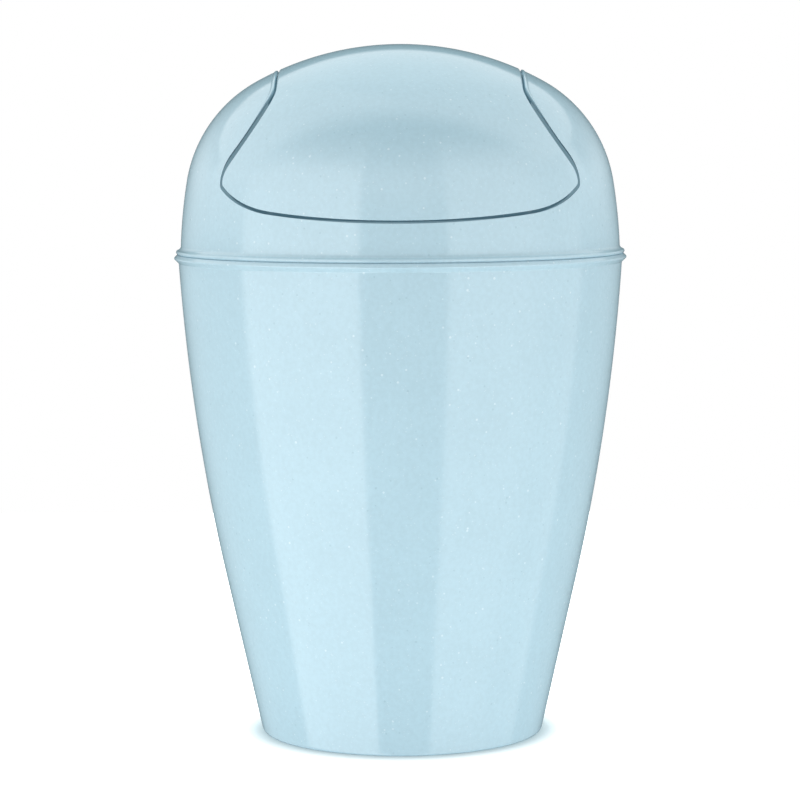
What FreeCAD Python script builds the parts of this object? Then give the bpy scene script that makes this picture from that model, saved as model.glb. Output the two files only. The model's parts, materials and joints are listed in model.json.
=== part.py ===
import FreeCAD, Part
import math
import os

# Round kitchen bin: a tapered body, a domed lid that sits on its rim, and a swing flap that
# fills the lid's hourglass opening and rocks on two pivot pins.
# Millimetres and degrees, +Z up, front towards -Y, origin at the centre of the foot's resting plane.

# Bin body
body_height = 261.6        # top face of the rim above the ground
base_radius = 76.6         # outer wall carried down to the ground
mouth_radius = 120.5       # outer wall carried up to the rim's top face
wall_bulge = 9.5           # corner of the wall's bend, proud of a straight line from foot to mouth
bend_share = 0.663         # where that corner stands along the straight line
body_wall = 2.0
foot_width = 4.5           # foot ring, measured in from the base radius
foot_recess = 2.5          # underside of the floor panel above the ground
floor_thickness = 2.4
foot_round = 2.6
floor_round = 6.0          # inside corner between floor and wall
rim_land = 1.1             # flat top of the rim, from the inner wall outwards, which carries the lid
rim_overhang = 2.2         # rim's tip beyond the outer wall
rim_fall = 1.9             # rim's tip below its top face
rim_tip_round = 0.75
rim_depth = 4.6            # underside of the rim where it meets the wall, below its top face
rim_neck_round = 1.0

# Domed lid
dome_rise = 112.9          # apex above the rim's top face
dome_inset = 1.3           # foot of the dome behind the body's mouth radius
dome_lean_deg = 1.6        # lean of the dome's side at its foot
dome_side_radius = 294.0   # barrelled side of the dome
shoulder_height = 39.2     # start of the shoulder above the rim's top face
crown_share = 0.3475       # tangent length of the crown over the dome's radius, for how flat the top is
lid_wall = 2.0
bead_setback = 1.05        # tip of the lid's bead behind the tip of the body's rim
bead_land = 1.4            # flat underside of the bead, from the skirt outwards, which rests on the rim
bead_rise = 2.3            # bead's tip above the rim's top face
bead_tip_round = 0.9
bead_height = 5.3          # top of the bead where it meets the dome, above the rim's top face
bead_neck_round = 1.6
skirt_depth = 12.0         # plug skirt inside the mouth
skirt_wall = 1.8
skirt_clearance = 0.5
skirt_round = 0.8

# Swing flap: its edge is turned about the pivot axis, so the gap is the same at every swing angle
pivot_cover = 6.54         # dome's inner face above the pivot axis at the pin's end
swing_limit_deg = 75.0     # swing each way before the stop
edge_gap = 1.0             # between the flap's edge and the opening, measured square to the turned edge
ear_width = 53.7           # lid's ear beside the flap's neck, in from the foot of the dome
tip_margin = 27.0          # flap's widest point, in from the foot of the dome
sill_height = 22.0         # lowest point of the flap's edge above the rim's top face
sill_turn_deg = 34.3       # the lowest arc turns the edge by this much on each side
corner_radius = 73.6
corner_turn_deg = 29.7
tip_radius = 3.6
tip_turn_deg = 104.2
tip_relief = 2.4           # extra corner radius in the opening, which widens the gap beside the ears
flank_length = 3.8         # straight part of the edge between tip and waist
flap_edge_round = 0.5

# Pivots
pin_radius = 3.0
pin_clearance = 0.06       # radial running clearance in the lid's lugs
pin_press = 0.02           # radial interference in the flap's bosses
pin_head_radius = 5.0
pin_head_thickness = 2.0
pin_end_chamfer = 0.6
pin_end_reach = 1.5        # pin beyond the lug's outer face
web_thickness = 3.0
web_radius = 8.5
boss_radius = 5.5
boss_length = 4.0
lug_setback = 0.5          # lug's face behind the edge of the opening
lug_thickness = 5.0
lug_radius = 8.0
side_play = 0.5            # axial play between boss and lug
stop_gap = 3.5             # between the round of the web and the stop peg below it
stop_peg_radius = 2.0
stop_tongue_radius = 4.5
stop_arm = 3.0             # stop edge of the web beyond the peg's axis
stop_clearance = 0.3       # left between peg and web at the swing limit
peg_overlap = 1.0          # peg beyond the web's inner face

axis_x = FreeCAD.Vector(1, 0, 0)
axis_z = FreeCAD.Vector(0, 0, 1)
origin = FreeCAD.Vector(0, 0, 0)
full_turn = math.degrees(2 * math.pi)
match_tolerance = 1e-4


def at(point):
    return FreeCAD.Vector(point[0], 0, point[1])


def line(start, end):
    return Part.LineSegment(at(start), at(end)).toShape()


def lines(points):
    return [line(start, end) for start, end in zip(points, points[1:])]


def shifted(point, direction, distance):
    return (point[0] + distance * direction[0], point[1] + distance * direction[1])


def arc(centre, start, end):
    """Arc of less than a half turn about a centre."""
    radius = math.dist(centre, start)
    middle = ((start[0] + end[0]) / 2, (start[1] + end[1]) / 2)
    bulge = math.dist(centre, middle)
    outward = ((middle[0] - centre[0]) / bulge, (middle[1] - centre[1]) / bulge)
    return Part.Arc(at(start), at(shifted(centre, outward, radius)), at(end)).toShape()


def touch(point, centre, radius, side):
    """Point where a line from a point touches a circle, on one side or the other."""
    facing = math.atan2(point[1] - centre[1], point[0] - centre[0])
    angle = facing + side * math.acos(radius / math.dist(centre, point))
    return shifted(centre, (math.cos(angle), math.sin(angle)), radius)


def lip(start, tip, tip_round, end):
    """Edges of a rounded lip: out from a start point, round a tip and back to an end point."""
    centre = (tip[0] - tip_round, tip[1])
    first = touch(start, centre, tip_round, -1)
    last = touch(end, centre, tip_round, 1)
    return [line(start, first), arc(centre, first, tip), arc(centre, tip, last), line(last, end)]


def turned(edges, base=origin, axis=axis_z):
    wire = Part.Wire(Part.__sortEdges__(edges))
    return Part.makeSolid(Part.Face(wire).revolve(base, axis, full_turn))


def rounded(solid, radius, spots):
    """Fillet the full circles about Z that pass through the (radius, height) spots."""
    chosen = []
    for edge in solid.Edges:
        if edge.Degenerated or not isinstance(edge.Curve, Part.Circle):
            continue
        here = (edge.Curve.Radius, edge.Curve.Center.z)
        if any(math.dist(here, spot) < match_tolerance for spot in spots):
            chosen.append(edge)
    return solid.makeFillet(radius, chosen)


def shared_edges(shape, first, second):
    """Edges of a shape whose middle lies on the surfaces of two other solids."""
    chosen = []
    for edge in shape.Edges:
        if edge.Degenerated:
            continue
        middle = Part.Vertex(edge.valueAt((edge.FirstParameter + edge.LastParameter) / 2))
        gaps = [middle.distToShape(solid.Shells[0])[0] for solid in (first, second)]
        if max(gaps) < match_tolerance:
            chosen.append(edge)
    return chosen


def mirrored(shape):
    return shape.mirror(origin, axis_x)


def rod(radius, start_x, end_x, height):
    return Part.makeCylinder(radius, end_x - start_x, FreeCAD.Vector(start_x, 0, height), axis_x)


def plate(half_width, low, high, start_x, end_x):
    corner = FreeCAD.Vector(start_x, -half_width, low)
    return Part.makeBox(end_x - start_x, 2 * half_width, high - low, corner)


# Body wall: a straight taper, then one arc that bends it towards the mouth
wall_foot = (base_radius, 0)
wall_span = (mouth_radius - base_radius, body_height)
wall_length = math.hypot(*wall_span)
wall_outward = (wall_span[1] / wall_length, -wall_span[0] / wall_length)
bend_corner = shifted(shifted(wall_foot, wall_span, bend_share), wall_outward, wall_bulge)
taper = math.atan2(bend_corner[0] - base_radius, bend_corner[1])
mouth_lean = math.atan2(mouth_radius - bend_corner[0], body_height - bend_corner[1])
bow_tangent = math.dist(bend_corner, (mouth_radius, body_height))
bow_radius = bow_tangent / math.tan((taper - mouth_lean) / 2)
bow_start = shifted(bend_corner, (math.sin(taper), math.cos(taper)), -bow_tangent)
wall_inward = (-math.cos(taper), math.sin(taper))
bow_centre = shifted(bow_start, wall_inward, bow_radius)


def wall_point(inset, height):
    """Point at a height on the body wall, moved in from its outer face."""
    if height <= bow_start[1] + inset * wall_inward[1]:
        return (base_radius + height * math.tan(taper) - inset / math.cos(taper), height)
    reach = math.sqrt((bow_radius - inset) ** 2 - (height - bow_centre[1]) ** 2)
    return (bow_centre[0] + reach, height)


rim_radius = mouth_radius + rim_overhang
floor_top = foot_recess + floor_thickness


def make_bin_body():
    foot_inner = (base_radius - foot_width, 0)
    rim_neck = wall_point(0, body_height - rim_depth)
    rim_tip = (rim_radius, body_height - rim_fall)
    inner_mouth = wall_point(body_wall, body_height)
    land_end = (inner_mouth[0] + rim_land, body_height)
    inner_bow = shifted(bow_start, wall_inward, body_wall)
    inner_floor = wall_point(body_wall, floor_top)
    edges = lines([(0, foot_recess), (foot_inner[0], foot_recess), foot_inner, wall_foot, bow_start])
    edges.append(arc(bow_centre, bow_start, rim_neck))
    edges += lip(land_end, rim_tip, rim_tip_round, rim_neck)
    edges.append(line(land_end, inner_mouth))
    edges.append(arc(bow_centre, inner_mouth, inner_bow))
    edges += lines([inner_bow, inner_floor, (0, floor_top), (0, foot_recess)])
    body = turned(edges)
    body = rounded(body, foot_round, [wall_foot])
    body = rounded(body, floor_round, [inner_floor])
    return rounded(body, rim_neck_round, [rim_neck])


# Dome: a barrelled side, then a shoulder arc and a crown arc that meet tangentially
seat = body_height
apex = (0, seat + dome_rise)
side_foot = (mouth_radius - dome_inset, seat)
lean = math.radians(dome_lean_deg)
side_centre = shifted(side_foot, (math.cos(lean), math.sin(lean)), -dome_side_radius)
shoulder_z = seat + shoulder_height
shoulder_angle = math.asin((shoulder_z - side_centre[1]) / dome_side_radius)
shoulder_outward = (math.cos(shoulder_angle), math.sin(shoulder_angle))
shoulder_start = shifted(side_centre, shoulder_outward, dome_side_radius)
shoulder_down = (shoulder_outward[1], -shoulder_outward[0])
rise = (shoulder_start[0] - apex[0], shoulder_start[1] - apex[1])
crown_spread = crown_share * side_foot[0]
rise_down = rise[0] * shoulder_down[0] + rise[1] * shoulder_down[1]
shoulder_spread = (math.hypot(*rise) ** 2 / 2 - crown_spread * rise[0]) / (
    rise_down - crown_spread * (shoulder_down[0] - 1))
crown_corner = (crown_spread, apex[1])
shoulder_corner = shifted(shoulder_start, shoulder_down, -shoulder_spread)
crown_fall = math.atan2(crown_corner[1] - shoulder_corner[1], shoulder_corner[0] - crown_corner[0])
shoulder_fall = math.pi / 2 - shoulder_angle - crown_fall
crown_radius = crown_spread / math.tan(crown_fall / 2)
shoulder_radius = shoulder_spread / math.tan(shoulder_fall / 2)
crown_centre = (0, apex[1] - crown_radius)
shoulder_centre = shifted(shoulder_start, shoulder_outward, -shoulder_radius)
crown_outward = (math.sin(crown_fall), math.cos(crown_fall))


def side_point(inset, height):
    reach = math.sqrt((dome_side_radius - inset) ** 2 - (height - side_centre[1]) ** 2)
    return (side_centre[0] + reach, height)


def dome_height(inset, radius):
    """Height of the dome's surface, moved in from its outer face, over a radius within the shoulder."""
    if radius <= (crown_radius - inset) * crown_outward[0]:
        return crown_centre[1] + math.sqrt((crown_radius - inset) ** 2 - radius ** 2)
    return shoulder_centre[1] + math.sqrt((shoulder_radius - inset) ** 2 - (radius - shoulder_centre[0]) ** 2)


def dome_arcs(inset, low):
    """Arcs of the dome's section, moved in from its outer face, from the apex down to a height."""
    top = (0, apex[1] - inset)
    crown_end = shifted(crown_centre, crown_outward, crown_radius - inset)
    shoulder_end = shifted(shoulder_start, shoulder_outward, -inset)
    side_end = side_point(inset, low)
    crown = arc(crown_centre, top, crown_end)
    shoulder = arc(shoulder_centre, crown_end, shoulder_end)
    side = arc(side_centre, shoulder_end, side_end)
    return [crown, shoulder, side], top, side_end


def dome_block(inset):
    """Solid under the dome's surface, down to the rim's top face."""
    edges, top, side_end = dome_arcs(inset, seat)
    return turned(edges + lines([side_end, (0, seat), top]))


# Positions along the pivot axis, from the opening's edge
neck_half_width = side_foot[0] - ear_width - edge_gap
lug_face = neck_half_width + edge_gap + lug_setback
lug_back = lug_face + lug_thickness
pin_end = lug_back + pin_end_reach
boss_end = lug_face - side_play
web_outer = boss_end - boss_length
web_inner = web_outer - web_thickness

# Heights of the pivot axis, the stop peg and the flap's lowest edge
pivot_z = dome_height(lid_wall, pin_end) - pivot_cover
stop_drop = web_radius + stop_gap + stop_peg_radius
stop_z = pivot_z - stop_drop
sill_z = seat + sill_height
sill_reach = math.hypot(side_point(0, sill_z)[0], pivot_z - sill_z)

# Edge of the flap, as a chain of tangent arcs in the plane of distance along and from the pivot axis
sill_heading = math.radians(sill_turn_deg)
corner_heading = sill_heading + math.radians(corner_turn_deg)
tip_heading = corner_heading + math.radians(tip_turn_deg)
corner_width = corner_radius * (math.sin(corner_heading) - math.sin(sill_heading))
tip_width = tip_radius * (1 - math.sin(corner_heading))
sill_radius = (side_foot[0] - tip_margin - corner_width - tip_width) / math.sin(sill_heading)


def edge_chain(grow, relief):
    """Arcs from the sill round the tip, with the edge moved out by grow, and the point where they end."""
    heading = 0.0
    spot = (0, sill_reach + grow)
    half = []
    for radius, next_heading in ((sill_radius + grow, sill_heading), (corner_radius + grow, corner_heading),
                                 (tip_radius + grow + relief, tip_heading)):
        centre = (spot[0] - radius * math.sin(heading), spot[1] - radius * math.cos(heading))
        heading = next_heading
        end = (centre[0] + radius * math.sin(heading), centre[1] + radius * math.cos(heading))
        half.append((centre, spot, end))
        spot = end
    return half, spot


tip_end = edge_chain(0, 0)[1]
waist_width = tip_end[0] - neck_half_width + flank_length * math.cos(tip_heading)
waist_radius = waist_width / (1 - math.sin(tip_heading))


def turned_edge(grow, relief):
    """Solid turned about the pivot axis, with the flap's edge moved out by grow."""
    heading = tip_heading
    half, spot = edge_chain(grow, relief)
    bend = waist_radius - grow
    neck = neck_half_width + grow
    flank = (spot[0] - neck - bend * (1 - math.sin(heading))) / -math.cos(heading)
    flank_end = (spot[0] + flank * math.cos(heading), spot[1] - flank * math.sin(heading))
    waist_centre = (neck + bend, flank_end[1] + bend * math.cos(heading))
    waist_end = (neck, waist_centre[1])

    edges = []
    for side in (1, -1):
        def place(point):
            return (side * point[0], pivot_z - point[1])
        edges += [arc(place(centre), place(start), place(end)) for centre, start, end in half]
        edges.append(line(place(spot), place(flank_end)))
        edges.append(arc(place(waist_centre), place(flank_end), place(waist_end)))
        edges.append(line(place(waist_end), place((neck, 0))))
    edges.append(line((neck, pivot_z), (-neck, pivot_z)))
    return turned(edges, FreeCAD.Vector(0, 0, pivot_z), axis_x)


opening_block = turned_edge(edge_gap, tip_relief)
flap_block = turned_edge(0, 0)
mid_wall_block = dome_block(lid_wall / 2)


def make_lug():
    """Lug under one ear of the lid, with the pin's bore and the stop peg."""
    block = plate(lug_radius, pivot_z, apex[1], lug_face, lug_back)
    block = block.fuse(rod(lug_radius, lug_face, lug_back, pivot_z))
    block = block.fuse(plate(stop_tongue_radius, stop_z, pivot_z, lug_face, lug_back))
    block = block.fuse(rod(stop_tongue_radius, lug_face, lug_back, stop_z))
    block = block.fuse(rod(stop_peg_radius, web_inner - peg_overlap, lug_face, stop_z))
    block = block.removeSplitter().common(mid_wall_block)
    return block.cut(rod(pin_radius + pin_clearance, lug_face, lug_back, pivot_z))


def make_lid_dome():
    bead_top = seat + bead_height
    bead_tip = (rim_radius - bead_setback, seat + bead_rise)
    outer, top, bead_neck = dome_arcs(0, bead_top)
    inner, inner_top, inner_foot = dome_arcs(lid_wall, bead_top)
    skirt_inset = body_wall + skirt_clearance
    skirt_top = wall_point(skirt_inset, seat)
    skirt_end = wall_point(skirt_inset, seat - skirt_depth)
    land_end = (skirt_top[0] + bead_land, seat)
    edges = outer + lip(bead_neck, bead_tip, bead_tip_round, land_end)
    edges += lines([land_end, skirt_top, skirt_end, (skirt_end[0] - skirt_wall, skirt_end[1]),
                    (skirt_top[0] - skirt_wall, skirt_top[1]), inner_foot])
    edges += inner + [line(inner_top, top)]
    lid = turned(edges)
    lid = rounded(lid, bead_neck_round, [bead_neck])
    lid = rounded(lid, skirt_round, [skirt_end])
    lug = make_lug()
    return lid.cut(opening_block).fuse([lug, mirrored(lug)]).removeSplitter()


def make_web():
    """Web under one side of the flap's neck: pin boss, and the two edges that meet the stop peg."""
    peg_angle = math.degrees(math.asin((stop_peg_radius + stop_clearance) / stop_drop))
    fan_turn = full_turn - 2 * (swing_limit_deg + peg_angle)
    fan_start = FreeCAD.Vector(web_inner, 0, pivot_z)
    fan = Part.makeCylinder(stop_drop + stop_arm, web_thickness, fan_start, axis_x, fan_turn)
    along = fan.CenterOfMass - fan_start
    lift = 90.0 - math.degrees(math.atan2(along.z, along.y))
    fan.rotate(fan_start, axis_x, lift)
    web = fan.fuse(rod(web_radius, web_inner, web_outer, pivot_z)).common(mid_wall_block)
    web = web.fuse(rod(boss_radius, web_outer, boss_end, pivot_z))
    return web.cut(rod(pin_radius - pin_press, web_inner, boss_end, pivot_z))


def make_swing_flap():
    dome = dome_block(0)
    shell = dome.cut(dome_block(lid_wall)).common(flap_block)
    shell = shell.makeFillet(flap_edge_round, shared_edges(shell, dome, flap_block))
    web = make_web()
    return shell.fuse([web, mirrored(web)]).removeSplitter()


def make_pivot_pin():
    head = rod(pin_head_radius, web_inner - pin_head_thickness, web_inner, pivot_z)
    shank = rod(pin_radius, web_inner, pin_end, pivot_z)
    tip = [edge for edge in shank.Edges if edge.CenterOfMass.x > lug_back and edge.Closed]
    return head.fuse(shank.makeChamfer(pin_end_chamfer, tip))


def one_solid(shape):
    solid, = shape.Solids
    return solid


pin = make_pivot_pin()
nodes = {
    "bin_body": one_solid(make_bin_body()),
    "lid_dome": one_solid(make_lid_dome()),
    "swing_flap": one_solid(make_swing_flap()),
    "pivot_pin_right": one_solid(pin),
    "pivot_pin_left": one_solid(mirrored(pin)),
}

os.makedirs("parts", exist_ok=True)
for name, solid in nodes.items():
    print(name, "valid", solid.isValid(), "volume", round(solid.Volume / 1000, 2), "ml")
    solid.exportStep(os.path.join("parts", name + ".step"))

moving = [nodes[name] for name in ("swing_flap", "pivot_pin_right", "pivot_pin_left")]
moving_volume = sum(solid.Volume for solid in moving)
balance_z = sum(solid.Volume * solid.CenterOfMass.z for solid in moving) / moving_volume
print("flap's centre of mass below the pivot axis", round(pivot_z - balance_z, 2), "mm")
print("crown radius", round(crown_radius, 1), "shoulder radius", round(shoulder_radius, 1))
print("pivot height", round(pivot_z, 3), "sill radius", round(sill_radius, 2), "waist radius", round(waist_radius, 2))
print("wall's taper", round(math.degrees(taper), 2), "bow radius", round(bow_radius, 1))
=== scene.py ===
import json
import math

import bpy
import numpy as np
from bpy.props import FloatProperty, FloatVectorProperty, IntProperty, PointerProperty
from mathutils import Matrix, Vector
from mathutils.geometry import delaunay_2d_cdt
from mathutils.kdtree import KDTree


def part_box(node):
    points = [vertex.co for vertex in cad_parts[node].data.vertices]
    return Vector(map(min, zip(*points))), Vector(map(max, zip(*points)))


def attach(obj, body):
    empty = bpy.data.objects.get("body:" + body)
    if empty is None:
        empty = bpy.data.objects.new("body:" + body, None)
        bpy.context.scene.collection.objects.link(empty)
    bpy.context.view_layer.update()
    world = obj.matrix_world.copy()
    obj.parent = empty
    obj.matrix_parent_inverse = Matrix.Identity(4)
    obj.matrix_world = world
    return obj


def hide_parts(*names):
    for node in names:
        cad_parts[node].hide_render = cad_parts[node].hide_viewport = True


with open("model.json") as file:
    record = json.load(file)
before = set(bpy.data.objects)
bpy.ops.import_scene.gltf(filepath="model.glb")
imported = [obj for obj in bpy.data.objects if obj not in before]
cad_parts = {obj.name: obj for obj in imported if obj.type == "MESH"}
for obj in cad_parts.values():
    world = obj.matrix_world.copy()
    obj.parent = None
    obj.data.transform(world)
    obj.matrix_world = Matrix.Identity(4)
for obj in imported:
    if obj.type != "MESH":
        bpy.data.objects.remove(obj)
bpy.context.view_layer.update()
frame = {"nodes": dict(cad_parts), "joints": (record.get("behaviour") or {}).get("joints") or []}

bl_info = {
    "name": "Swing lid bin",
    "version": (1, 0, 0),
    "blender": (4, 5, 0),
    "location": "View3D > Sidebar > Swing lid bin",
    "description": "Speckled plastic bin with a domed lid and a swing flap, built around its packed frame",
    "category": "Object",
}

PHOTO_WIDTH = 800
SENSOR_WIDTH = 36.0

# Fineness of the meshes
HALVINGS = 56
ARC_STEP = math.radians(9)
SHARP_CORNER = math.radians(40)
EDGE_STEPS = 9
TIP_STEPS = 12
FLARE_STEPS = 14
CORNER_STEPS = 5
BORE_SIDES = 48
PEG_SIDES = 40
BOSS_SIDES = 64
LUG_STEPS = 12
TONGUE_STEPS = 24
LUG_TOP_STEPS = 13
ARM_STEPS = 14
WEB_STEPS = 40
WEB_TOP_STEPS = 15
ON_AXIS = 1e-9
PLAN_SCALE = 1000
PLAN_TOLERANCE = 1e-6
EDGE_MARGIN = 0.6
EDGE_SHARE = 0.45

# Flecks: share of the cells that hold one, smallest and largest radius, and how strongly they show
LARGE_WHITE = (0.42, 0.00038, 0.00078, 0.38)
SMALL_WHITE = (0.55, 0.00025, 0.00048, 0.22)
LARGE_GREY = (0.34, 0.00036, 0.00072, 0.32)
GREY_CELL = 0.9
FLECK_RIM = 0.6
FLECK_SHIFT = (0.131, 0.257, 0.373)

# Mottle, gloss and grain of the plastics
CLOUD = {"Scale": 420.0, "Detail": 2.0, "Roughness": 0.6}
DRIFT = {"Scale": 26.0, "Detail": 1.0}
CLOUD_SHARE = 0.7
DEEP_TONE = 0.965
PALE_TONE = 1.03
GLOSS_SPREAD = 0.04
MOULDING_IOR = 1.9
PIN_GRAIN = {"Scale": 900.0, "Detail": 3.0}
PIN_DEEP_TONE = 0.9
PIN_ROUGHNESS = 0.42
PIN_GLOSS_SPREAD = 0.12
PIN_IOR = 1.48

# Stage
WHITE = (1.0, 1.0, 1.0, 1.0)
FLOOR_HALF = 0.9
# Painted shadow: within these distances of the bin's axis the floor is darker and has none of its own light
PAINTED_SHADOW_REACH = (0.070, 0.100)
LIGHT_PLACE = (1.5, -0.9, 0.55)
LIGHT_AIM = (0.0, 0.0, 0.2)
LIGHT_WIDTH = 1.2
LIGHT_HEIGHT = 1.4

pivot_point = [joint for joint in frame["joints"] if joint["name"] == "flap_swing"][0]["pos_m"]
rim_top_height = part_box("bin_body")[1].z


def length(name, description, default):
    return FloatProperty(name=name, description=description, default=default, min=0.0,
                         precision=5, unit="LENGTH", subtype="DISTANCE")


def angle(name, description, degrees):
    return FloatProperty(name=name, description=description, default=math.radians(degrees),
                         unit="ROTATION", subtype="ANGLE")


def share(name, description, default):
    return FloatProperty(name=name, description=description, default=default,
                         min=0.0, max=1.0, subtype="FACTOR")


def strength(name, description, default):
    return FloatProperty(name=name, description=description, default=default, min=0.0)


def colour(name, description, default):
    return FloatVectorProperty(name=name, description=description, default=default, size=4,
                               min=0.0, max=1.0, subtype="COLOR")


class BodySizes(bpy.types.PropertyGroup):
    height: length("Height", "Top face of the rim above the ground", rim_top_height)
    base_radius: length("Base radius", "Outer wall carried down to the ground", 0.0766)
    mouth_radius: length("Mouth radius", "Outer wall carried up to the rim's top face", 0.1205)
    wall_bulge: length("Wall bulge", "Corner of the wall's bend, proud of a line from foot to mouth", 0.0095)
    bend_share: share("Bend share", "Where that corner stands along the line", 0.663)
    wall: length("Wall", "Thickness of the wall", 0.002)
    foot_width: length("Foot width", "Foot ring, measured in from the base radius", 0.0045)
    foot_recess: length("Foot recess", "Underside of the floor panel above the ground", 0.0025)
    floor_thickness: length("Floor thickness", "Thickness of the floor panel", 0.0024)
    foot_round: length("Foot round", "Rounding between wall and foot ring", 0.0026)
    floor_round: length("Floor round", "Inside rounding between floor and wall", 0.006)
    rim_land: length("Rim land", "Flat top of the rim that carries the lid", 0.0026)
    rim_overhang: length("Rim overhang", "Rim's tip beyond the outer wall", 0.00217)
    rim_fall: length("Rim fall", "Rim's tip below its top face", 0.0019)
    rim_tip_round: length("Rim tip round", "Rounding of the rim's tip", 0.00075)
    rim_depth: length("Rim depth", "Underside of the rim where it meets the wall, below its top face", 0.0046)
    rim_neck_round: length("Rim neck round", "Rounding between the rim's underside and the wall", 0.001)
    edge_round: length("Edge round", "Small rounding of the moulding's free edges", 0.0005)
    sides: IntProperty(name="Sides", description="Facets round each turned piece", default=360, min=48)


class LidSizes(bpy.types.PropertyGroup):
    dome_rise: length("Dome rise", "Apex above the rim's top face", 0.1129)
    dome_inset: length("Dome inset", "Foot of the dome behind the body's mouth radius", 0.0013)
    dome_lean: angle("Dome lean", "Lean of the dome's side at its foot", 1.6)
    side_radius: length("Side radius", "Barrelled side of the dome", 0.294)
    shoulder_height: length("Shoulder height", "Start of the shoulder above the rim's top face", 0.0392)
    crown_share: share("Crown share", "Tangent length of the crown over the dome's radius", 0.3475)
    wall: length("Wall", "Thickness of lid and flap", 0.002)
    bead_setback: length("Bead setback", "Tip of the bead behind the tip of the body's rim", 0.00105)
    bead_land: length("Bead land", "Flat underside of the bead that rests on the rim", 0.0024)
    bead_rise: length("Bead rise", "Bead's tip above the rim's top face", 0.0014)
    bead_tip_round: length("Bead tip round", "Rounding of the bead's tip", 0.0010)
    bead_height: length("Bead height", "Top of the bead where it meets the dome", 0.0053)
    bead_flare: length("Bead flare", "Hollow rounding between bead and dome", 0.0026)
    collar: length("Collar", "Turned band of the dome above the bead", 0.004)
    skirt_depth: length("Skirt depth", "Plug skirt inside the mouth", 0.012)
    skirt_wall: length("Skirt wall", "Thickness of the plug skirt", 0.0018)
    skirt_clearance: length("Skirt clearance", "Room between skirt and body", 0.0005)
    skirt_round: length("Skirt round", "Rounding of the skirt's lower edge", 0.0008)
    ear_round: length("Ear round", "Rounding of the opening's edge along the ears", 0.0022)
    ear_roll: length("Ear roll", "Corner of that rounding, raised above the dome along the ears", 0.0010)
    flank_room: length("Flank room", "Opening's extra room along the flap's flanks", 0.0008)
    sill_round: length("Sill round", "Rounding of the opening's edge along the sills", 0.0003)
    undercut: length("Undercut", "Inner edges of opening and flap kept back behind the outer edges", 0.0022)
    mesh_step: length("Mesh step", "Spacing of points over the dome", 0.0026)


class FlapSizes(bpy.types.PropertyGroup):
    pivot_height: length("Pivot height", "Pivot axis above the ground", pivot_point[2])
    edge_gap: length("Edge gap", "Between the flap's edge and the opening", 0.001)
    ear_width: length("Ear width", "Lid's ear beside the flap's neck, in from the foot of the dome", 0.0537)
    tip_margin: length("Tip margin", "Flap's widest point, in from the foot of the dome", 0.027)
    sill_height: length("Sill height", "Lowest point of the flap's edge above the rim's top face", 0.022)
    sill_turn: angle("Sill turn", "Turn of the lowest arc on each side", 34.3)
    corner_radius: length("Corner radius", "Arc between sill and tip", 0.0736)
    corner_turn: angle("Corner turn", "Turn of the corner arc", 29.7)
    tip_radius: length("Tip radius", "Arc round the flap's widest point", 0.0036)
    tip_turn: angle("Tip turn", "Turn of the tip arc", 104.2)
    tip_relief: length("Tip relief", "Extra tip radius in the opening", 0.0024)
    flank_length: length("Flank length", "Straight part of the edge between tip and waist", 0.0038)
    edge_round: length("Edge round", "Rounding of the flap's edge along the sills", 0.00035)
    neck_round: length("Neck round", "Rounding of the flap's outer edge at the neck", 0.0009)
    sill_reach: length("Sill reach", "Flap's edge carried into the gap along the sills", 0.00035)


class PivotSizes(bpy.types.PropertyGroup):
    bore_radius: length("Bore radius", "Bore for the pivot pin", 0.00306)
    web_thickness: length("Web thickness", "Web under the flap's neck", 0.003)
    web_radius: length("Web radius", "Round of the web about the pivot", 0.0085)
    boss_radius: length("Boss radius", "Boss that holds the pin", 0.0055)
    boss_length: length("Boss length", "Boss beyond the web", 0.004)
    lug_setback: length("Lug setback", "Lug's face behind the edge of the opening", 0.0005)
    lug_thickness: length("Lug thickness", "Lug under the ear", 0.005)
    lug_radius: length("Lug radius", "Round of the lug about the pivot", 0.008)
    side_play: length("Side play", "Axial play between boss and lug", 0.0005)
    stop_gap: length("Stop gap", "Between the round of the web and the stop peg", 0.0035)
    stop_peg_radius: length("Stop peg radius", "Peg that limits the swing", 0.002)
    stop_tongue_radius: length("Stop tongue radius", "Round of the lug about the stop peg", 0.0045)
    stop_arm: length("Stop arm", "Stop edge of the web beyond the peg's axis", 0.003)
    stop_clearance: length("Stop clearance", "Left between peg and web at the swing limit", 0.0003)
    peg_overlap: length("Peg overlap", "Peg beyond the web's inner face", 0.001)
    swing_limit: angle("Swing limit", "Swing each way before the stop", 75.0)
    edge_round: length("Edge round", "Rounding of the mouldings under the ears", 0.0004)


class PlasticLook(bpy.types.PropertyGroup):
    base: colour("Base", "Pale blue of the moulding", (0.462, 0.640, 0.722, 1.0))
    light_fleck: colour("Light fleck", "White flecks in the moulding", (0.86, 0.94, 0.97, 1.0))
    dark_fleck: colour("Dark fleck", "Grey flecks in the moulding", (0.26, 0.42, 0.50, 1.0))
    fleck_size: length("Fleck size", "Cell that holds at most one large fleck", 0.0044)
    dust_size: length("Dust size", "Cell that holds at most one small fleck", 0.0021)
    roughness: share("Roughness", "Gloss of the moulding", 0.11)
    # Painted glow of the inner faces, standing in for light that comes through the wall
    through: colour("Through", "Colour of light that comes through the wall", (0.66, 0.90, 0.98, 1.0))
    glow: share("Glow", "Strength of light that comes through the wall", 0.17)
    pin: colour("Pin", "Pale grey of the pivot pins", (0.62, 0.66, 0.68, 1.0))


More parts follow.
